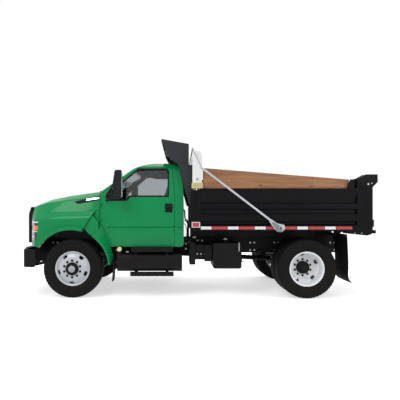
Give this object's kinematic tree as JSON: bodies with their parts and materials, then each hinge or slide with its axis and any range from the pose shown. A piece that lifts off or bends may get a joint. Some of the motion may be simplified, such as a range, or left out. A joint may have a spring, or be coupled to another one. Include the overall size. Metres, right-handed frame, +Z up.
{
  "type": "dump truck",
  "caption": "Conventional-cab two-axle dump truck with a tilting hood, opening doors, a tipping ribbed body with tailgate and cab shield, and a flip tarp frame.",
  "frame": {"origin": "on the ground, under the middle of the truck", "axes": "+X from nose to tail, +Y to the right-hand side of the truck, +Z up"},
  "size_m": [6.26, 2.62, 2.748],
  "materials": {
    "green": "gloss paint",
    "chassis_black": "satin black paint",
    "body_black": "gloss black paint",
    "shield_grey": "satin dark grey paint",
    "engine_grey": "cast",
    "glass": "dark tinted",
    "interior": "matte",
    "dark_plastic": "grained",
    "chrome": "bright",
    "lamp": "clear",
    "rubber_sheet": "matte",
    "steel_bright": "bright",
    "tyre": "matte",
    "rim": "silver-white paint",
    "lumber": "weathered sawn board",
    "tarp_fabric": "coated mesh",
    "white_metal": "white paint",
    "aluminium": "mill finish"
  },
  "bodies": {
    "chassis": {"bumper": "chassis_black", "cab_glass": "glass", "cab_shell": "green", "crossmembers": "chassis_black", "dash": "interior", "driveshaft": "chassis_black", "engine": "engine_grey", "exhaust": "steel_bright", "fender_extensions": "green", "frame_rail_left": "chassis_black", "frame_rail_right": "chassis_black", "front_axle": "chassis_black", "front_brackets": "chassis_black", "hoist_brackets": "chassis_black", "hood_pivots": "chassis_black", "hydraulic_tank": "chassis_black", "leaf_springs": "chassis_black", "mud_flaps": "rubber_sheet", "radiator": "chassis_black", "rear_axle": "chassis_black", "seats": "interior", "steering_wheel": "interior", "step_tanks": "chassis_black", "subframe": "chassis_black", "tank_steps": "chassis_black", "tank_straps": "chassis_black"},
    "hood": {"hood": "green", "headlamps": "lamp", "hood_vents": "chrome", "grille": "chrome"},
    "door_left": {"door_left": "green", "door_glass_left": "glass", "mirror_left": "dark_plastic"},
    "door_right": {"door_right": "green", "door_glass_right": "glass", "mirror_right": "dark_plastic"},
    "bed": {"bed_floor": "body_black", "bed_side_left": "body_black", "bed_side_right": "body_black", "bulkhead": "body_black", "cab_shield": "shield_grey", "side_boards": "lumber", "tarp_towers": "white_metal", "tarp_roll": "tarp_fabric"},
    "tailgate": {"tailgate": "body_black"},
    "tarp_frame": {"tarp_frame": "aluminium"},
    "hoist_barrel": {"hoist_barrel": "chassis_black"},
    "hoist_rod": {"hoist_rod": "steel_bright"},
    "knuckle_left": {"knuckle_left": "chassis_black"},
    "knuckle_right": {"knuckle_right": "chassis_black"},
    "wheel_front_left": {"tyre_front_left": "tyre", "rim_front_left": "rim"},
    "wheel_front_right": {"tyre_front_right": "tyre", "rim_front_right": "rim"},
    "wheels_rear_left": {"tyres_rear_left": "tyre", "rims_rear_left": "rim"},
    "wheels_rear_right": {"tyres_rear_right": "tyre", "rims_rear_right": "rim"}
  },
  "joints": [
    {"name": "hood_tilt", "type": "hinge", "parent": "chassis", "child": "hood", "pos_m": [-2.982, 0, 0.885], "axis": [0, -1, 0], "range_deg": [0, 55]},
    {"name": "door_left_hinge", "type": "hinge", "parent": "chassis", "child": "door_left", "pos_m": [-1.668, -1.026, 1.47], "axis": [0, 0, -1], "range_deg": [0, 70]},
    {"name": "door_right_hinge", "type": "hinge", "parent": "chassis", "child": "door_right", "pos_m": [-1.668, 1.026, 1.47], "axis": [0, 0, 1], "range_deg": [0, 70]},
    {"name": "bed_tip", "type": "hinge", "parent": "chassis", "child": "bed", "pos_m": [2.73, 0, 1.046], "axis": [0, 1, 0], "range_deg": [0, 50]},
    {"name": "tailgate_swing", "type": "hinge", "parent": "bed", "child": "tailgate", "pos_m": [3.03, 0, 2.04], "axis": [0, -1, 0], "range_deg": [0, 60]},
    {"name": "tarp_swing", "type": "hinge", "parent": "bed", "child": "tarp_frame", "pos_m": [1.416, 0, 1.211], "axis": [0, 1, 0], "range_deg": [0, 100]},
    {"name": "hoist_pivot", "type": "hinge", "parent": "chassis", "child": "hoist_barrel", "pos_m": [0.28, 0, 0.76], "axis": [0, 1, 0], "range_deg": [-11.1, 0.5]},
    {"name": "hoist_stroke", "type": "slide", "parent": "hoist_barrel", "child": "hoist_rod", "axis": [0.9864, 0, 0.1642], "range_m": [0, 0.3451]},
    {"name": "steer_left", "type": "hinge", "parent": "chassis", "child": "knuckle_left", "pos_m": [-2.12, -0.88, 0.505], "axis": [0, 0, 1], "range_deg": [-35, 35]},
    {"name": "steer_right", "type": "hinge", "parent": "chassis", "child": "knuckle_right", "pos_m": [-2.12, 0.88, 0.505], "axis": [0, 0, 1], "range_deg": [-35, 35]},
    {"name": "roll_front_left", "type": "hinge", "parent": "knuckle_left", "child": "wheel_front_left", "pos_m": [-2.12, -1.016, 0.505], "axis": [0, 1, 0], "continuous": true},
    {"name": "roll_front_right", "type": "hinge", "parent": "knuckle_right", "child": "wheel_front_right", "pos_m": [-2.12, 1.016, 0.505], "axis": [0, 1, 0], "continuous": true},
    {"name": "roll_rear_left", "type": "hinge", "parent": "chassis", "child": "wheels_rear_left", "pos_m": [1.893, -0.927, 0.505], "axis": [0, 1, 0], "continuous": true},
    {"name": "roll_rear_right", "type": "hinge", "parent": "chassis", "child": "wheels_rear_right", "pos_m": [1.893, 0.927, 0.505], "axis": [0, 1, 0], "continuous": true}
  ],
  "couplings": [
    {"joint": "hoist_pivot", "follows": "bed_tip", "ratio": -0.21206},
    {"joint": "hoist_stroke", "follows": "bed_tip", "m_per_rad": 0.38968},
    {"joint": "steer_right", "follows": "steer_left", "ratio": 1}
  ]
}
